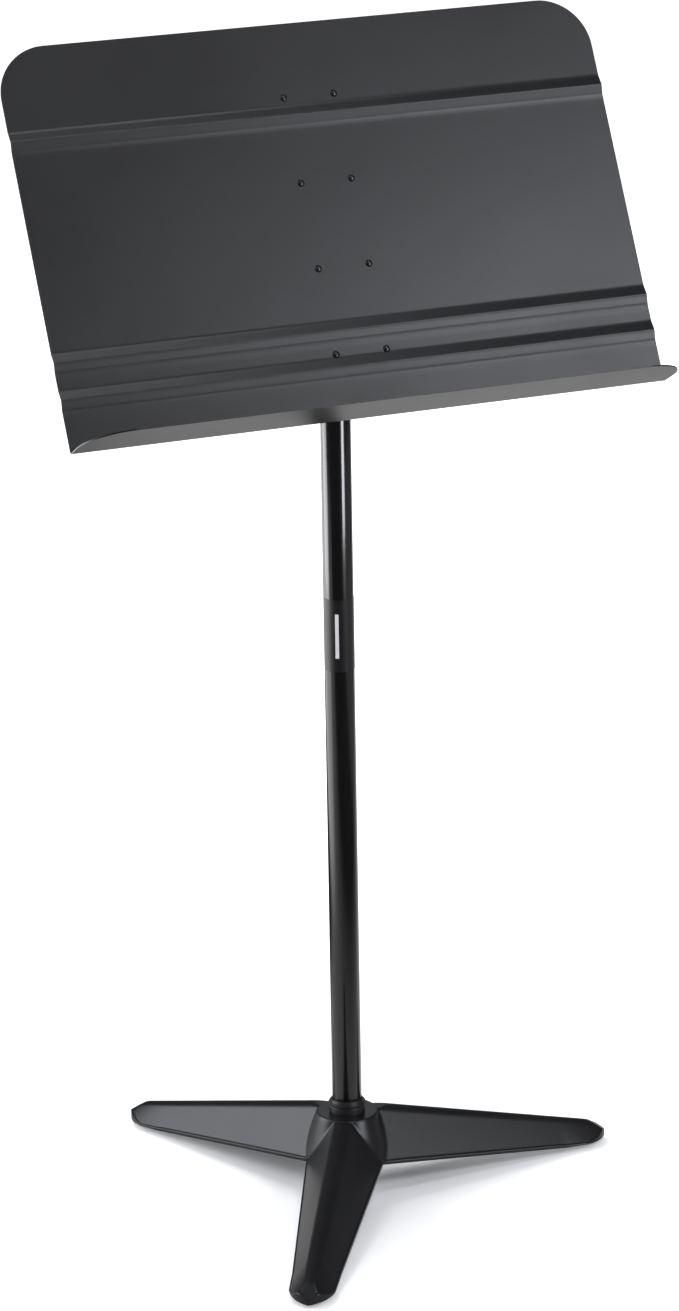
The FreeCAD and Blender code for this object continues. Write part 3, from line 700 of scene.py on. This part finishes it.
def hub_rings(half, leg_deltas):
    """Rings of points round the bolt hole, out to the legs' grids and the edge between them."""
    spokes = []
    for angle in LEG_ANGLES:
        turn = math.radians(angle)
        spokes += [(turn + delta, HUB_GRID) for delta in leg_deltas]
        for k in range(1, 2 * BETWEEN):
            delta = half + (LEG_TURN - 2 * half) * k / (2 * BETWEEN)
            spokes.append((turn + delta, edge_radius(min(delta, LEG_TURN - delta))))
    rings = [[(r * math.cos(turn), r * math.sin(turn)) for turn, _ in spokes] for r in HUB_RINGS]
    for share in OUTER_RINGS:
        ring = []
        for turn, end in spokes:
            out = lerp(HUB_RINGS[-1], end, share)
            ring.append((out * math.cos(turn), out * math.sin(turn)))
        rings.append(ring)
    return rings


def fan_rows(leg_deltas):
    """Rows of a leg that go from the hub grid's arc to straight across."""
    start = [(HUB_GRID * math.cos(d), HUB_GRID * math.sin(d)) for d in leg_deltas]
    rows = []
    for t in spread(0, 1, FAN_ROWS + 1)[1:]:
        row = []
        for (rho, across), share in zip(start, SHARES):
            out = lerp(rho, STRAIGHT_FROM, t)
            pull = lerp(across / inset_half_width(rho), share, t)
            row.append((out, pull * inset_half_width(out)))
        rows.append(row)
    return rows


def straight_rows():
    return [[(rho, share * inset_half_width(rho)) for share in SHARES]
            for rho in spread(STRAIGHT_FROM, STRAIGHT_TO, STRAIGHT_ROWS + 1)[1:]]


def nose_rows():
    """Rows of a leg that go from straight across to the nose's arc."""
    corner = inset_half_width(NOSE_CORNER)
    sweep = math.atan2(corner - NOSE_ACROSS, NOSE_CORNER - NOSE_RHO)
    tip_angle = math.atan2(-NOSE_ACROSS, NOSE_TIP - NOSE_RHO)
    rows = []
    for t in spread(0, 1, NOSE_ROWS + 1)[1:]:
        side_rho = lerp(STRAIGHT_TO, NOSE_CORNER, t)
        side = inset_half_width(side_rho)
        row = []
        for share in SHARES:
            around = lerp(tip_angle, sweep, abs(share))
            end_rho = NOSE_RHO + INSET_RADIUS * math.cos(around)
            end_across = max(0.0, NOSE_ACROSS + INSET_RADIUS * math.sin(around)) if share else 0.0
            row.append((side_rho + t * (end_rho - NOSE_CORNER),
                        share * (side - t * corner) + t * math.copysign(end_across, share)))
        rows.append(row)
    return rows


def base_grid():
    """Points (x, y) and faces of the whole shell's top, seen from above."""
    half = leg_share_at_hub()
    leg_deltas = [math.asin(math.sin(half) * share) for share in SHARES]
    rings = hub_rings(half, leg_deltas)
    count = len(rings[0])
    points = [point for ring in rings for point in ring]
    faces = []
    for i in range(len(rings) - 1):
        for j in range(count):
            k = (j + 1) % count
            faces.append((i * count + j, i * count + k, (i + 1) * count + k, (i + 1) * count + j))
    last_ring = (len(rings) - 1) * count
    rows = fan_rows(leg_deltas) + straight_rows() + nose_rows()
    for index, angle in enumerate(LEG_ANGLES):
        first = index * (COLUMNS + 2 * BETWEEN)
        before = [last_ring + (first + j) % count for j in range(COLUMNS + 1)]
        for row in rows:
            here = list(range(len(points), len(points) + len(row)))
            points += [from_leg(rho, across, angle) for rho, across in row]
            for j in range(COLUMNS):
                faces.append((before[j], before[j + 1], here[j + 1], here[j]))
            before = here
    return points, faces


def base_mesh():
    points, faces = base_grid()
    work = bmesh.new()
    corners = [work.verts.new((x, y, base_height(x, y))) for x, y in points]
    for face in faces:
        work.faces.new([corners[i] for i in face])
    bmesh.ops.recalc_face_normals(work, faces=work.faces)
    top_face = max(work.faces, key=lambda face: face.calc_center_median().z)
    if top_face.normal.z < 0:
        bmesh.ops.reverse_faces(work, faces=work.faces)
    add_skirt(work)
    mesh = bpy.data.meshes.new("base_shell_skin")
    bmesh.ops.scale(work, vec=(MM, MM, MM), verts=work.verts)
    work.to_mesh(mesh)
    work.free()
    smooth(mesh)
    return mesh


def outer_loop(work):
    """The sheet's outer edge as a loop of vertices, anticlockwise from above."""
    neighbours = {}
    for edge in work.edges:
        if edge.is_boundary and min(v.co.xy.length for v in edge.verts) > BOLT_HOLE + 1:
            one, other = edge.verts
            neighbours.setdefault(one, []).append(other)
            neighbours.setdefault(other, []).append(one)
    first = next(iter(neighbours))
    loop = [first]
    previous, current = first, neighbours[first][0]
    while current is not first:
        loop.append(current)
        following = [v for v in neighbours[current] if v is not previous][0]
        previous, current = current, following
    area = sum(a.co.x * b.co.y - b.co.x * a.co.y for a, b in zip(loop, loop[1:] + loop[:1]))
    if area < 0:
        loop.reverse()
    return loop


def outward(loop):
    """Level unit vectors away from the sheet, one for each vertex of its loop."""
    vectors = []
    for i, vert in enumerate(loop):
        ahead = loop[(i + 1) % len(loop)].co - vert.co
        behind = vert.co - loop[i - 1].co
        tangent = ahead.xy.normalized() + behind.xy.normalized()
        tangent.normalize()
        vectors.append(Vector((tangent.y, -tangent.x)))
    return vectors


def add_skirt(work):
    """Round the sheet over at its outer edge and run it down to the shell's foot."""
    loop = outer_loop(work)
    size = len(loop)
    starts = [(vert.co.copy(), normal) for vert, normal in zip(loop, outward(loop))]
    rings = [loop]
    for turn in map(math.radians, SKIRT_TURNS):
        out = EDGE_ROUND * math.sin(turn)
        drop = EDGE_ROUND * (1 - math.cos(turn))
        ring = []
        for start, normal in starts:
            place = start.xy + normal * out
            ring.append(work.verts.new((place.x, place.y, start.z - drop)))
        rings.append(ring)
    foot = []
    for vert in rings[-1]:
        rho = max(to_leg(vert.co.x, vert.co.y, angle)[0] for angle in LEG_ANGLES)
        height = min(edge_height(rho), vert.co.z - EDGE_LEAST)
        foot.append(work.verts.new((vert.co.x, vert.co.y, height)))
    rings.append(foot)
    for inner, outer in zip(rings, rings[1:]):
        for i in range(size):
            j = (i + 1) % size
            work.faces.new((inner[i], outer[i], outer[j], inner[j]))


def make_base(finish):
    shell = link("base_shell_skin", base_mesh(), "base", "base_shell",
                 finish["black_coat"])
    thicken(shell, SHELL)


# ---------------------------------------------------------------- desk panel
# Millimetres from the tilt bolt's axis, before the desk leans back.

PIVOT = next(joint["pos_m"][2] for joint in frame["record"]["behaviour"]["joints"]
             if joint["name"] == "desk_tilt")
DESK_LEAN = math.radians(29.0)
DESK_HALF = in_millimetres(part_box("desk_panel")[1].x)
DESK_HEIGHT = 329.0
SHEET = 1.2
LEDGE_DEPTH = 58.0
TOP_CORNER = 42.0
LEDGE_CORNER = 38.0
FOLD_RADIUS = 3.0
FACE_OUT = -26.0                      # the face's front, towards the reader
FOLD_DOWN = -126.3                    # the ledge's underside
RIB_LEVELS = (43.0, 73.0, 252.5)      # above the ledge's underside
RIB_DEPTH = 2.6
RIB_HALF = 8.0
CREST_ROUND = 1.0
FOOT_ROUND = 1.6

DESK_COLUMNS = 120
LIP_ANGLES = spread(90, 6, 15)
LEDGE_ROWS = 6
FOLD_ANGLES = spread(15, 90, 6)
CORNER_ANGLES = spread(0, 90, 19)
CREST_NEAR = 1.4                      # rows are closest within this distance of a rib's crest
FOOT_NEAR = 2.5                       # and close within this of its foot


def rib_out(level):
    """How far the face stands proud of its plane at a level above the fold."""
    slope = RIB_DEPTH / RIB_HALF
    out = 0.0
    for rib in RIB_LEVELS:
        off = abs(level - rib)
        gap = off - RIB_HALF
        if off < CREST_ROUND:
            crest = (CREST_ROUND ** 2 - off ** 2) / (2 * CREST_ROUND)
            rise = slope * (RIB_HALF - CREST_ROUND + crest)
        elif abs(gap) < FOOT_ROUND:
            rise = slope * (FOOT_ROUND - gap) ** 2 / (4 * FOOT_ROUND)
        else:
            rise = max(0.0, -slope * gap)
        out = max(out, rise)
    return out


def row_step(level):
    """Distance from one row of the face to the next."""
    near = min(abs(level - rib) for rib in RIB_LEVELS)
    if near < CREST_NEAR:
        return 0.35
    if abs(near - RIB_HALF) < FOOT_NEAR:
        return 0.7
    if near < RIB_HALF:
        return 1.2
    return 4.0


def desk_sections():
    """(y, z, half width) up the sheet's upper side, from the ledge's lip to the desk's top."""
    lip = FACE_OUT - LEDGE_DEPTH
    inside = FOLD_RADIUS - SHEET
    ledge_top = FOLD_DOWN + SHEET
    sections = []
    for turn in map(math.radians, LIP_ANGLES):
        sections.append((lip + LEDGE_CORNER * (1 - math.sin(turn)), ledge_top,
                         DESK_HALF - LEDGE_CORNER * (1 - math.cos(turn))))
    for y in spread(lip + LEDGE_CORNER, FACE_OUT - inside, LEDGE_ROWS):
        sections.append((y, ledge_top, DESK_HALF))
    for turn in map(math.radians, FOLD_ANGLES):
        sections.append((FACE_OUT - inside + inside * math.sin(turn),
                         FOLD_DOWN + FOLD_RADIUS - inside * math.cos(turn), DESK_HALF))
    level = FOLD_RADIUS + 3
    while level < DESK_HEIGHT - TOP_CORNER:
        last = level
        sections.append((FACE_OUT - rib_out(level), FOLD_DOWN + level, DESK_HALF))
        level += row_step(level)
    for turn in map(math.radians, CORNER_ANGLES):
        level = DESK_HEIGHT - TOP_CORNER * (1 - math.sin(turn))
        if level > last + 0.5:
            sections.append((FACE_OUT - rib_out(level), FOLD_DOWN + level,
                             DESK_HALF - TOP_CORNER * (1 - math.cos(turn))))
    return sections


def desk_place(x, y, z):
    """Desk's own millimetres to the stand's metres."""
    turned_y = y * math.cos(DESK_LEAN) + z * math.sin(DESK_LEAN)
    turned_z = z * math.cos(DESK_LEAN) - y * math.sin(DESK_LEAN)
    return (x * MM, turned_y * MM, turned_z * MM + PIVOT)


def make_desk(finish):
    rows = [[desk_place(share * half, y, z) for share in spread(-1, 1, DESK_COLUMNS + 1)]
            for y, z, half in desk_sections()]
    sheet = link("desk_sheet", grid_mesh("desk_sheet", rows), "desk", "desk_panel",
                 finish["black_coat"])
    thicken(sheet, SHEET)


# ---------------------------------------------------------------- the stand


def paint_nodes(finish):
    """Give every CAD node the finish of its slot in the record."""
    slots = {part["node"]: part["material_slot"] for part in frame["record"]["subparts"]}
    for name, thing in frame["nodes"].items():
        thing.data.materials.clear()
        thing.data.materials.append(finish[slots[name]])


make_camera()
make_floor()
make_lights()
materials = make_materials()
paint_nodes(materials)
make_base(materials)
make_desk(materials)
make_tubes(materials)
make_collar(materials)
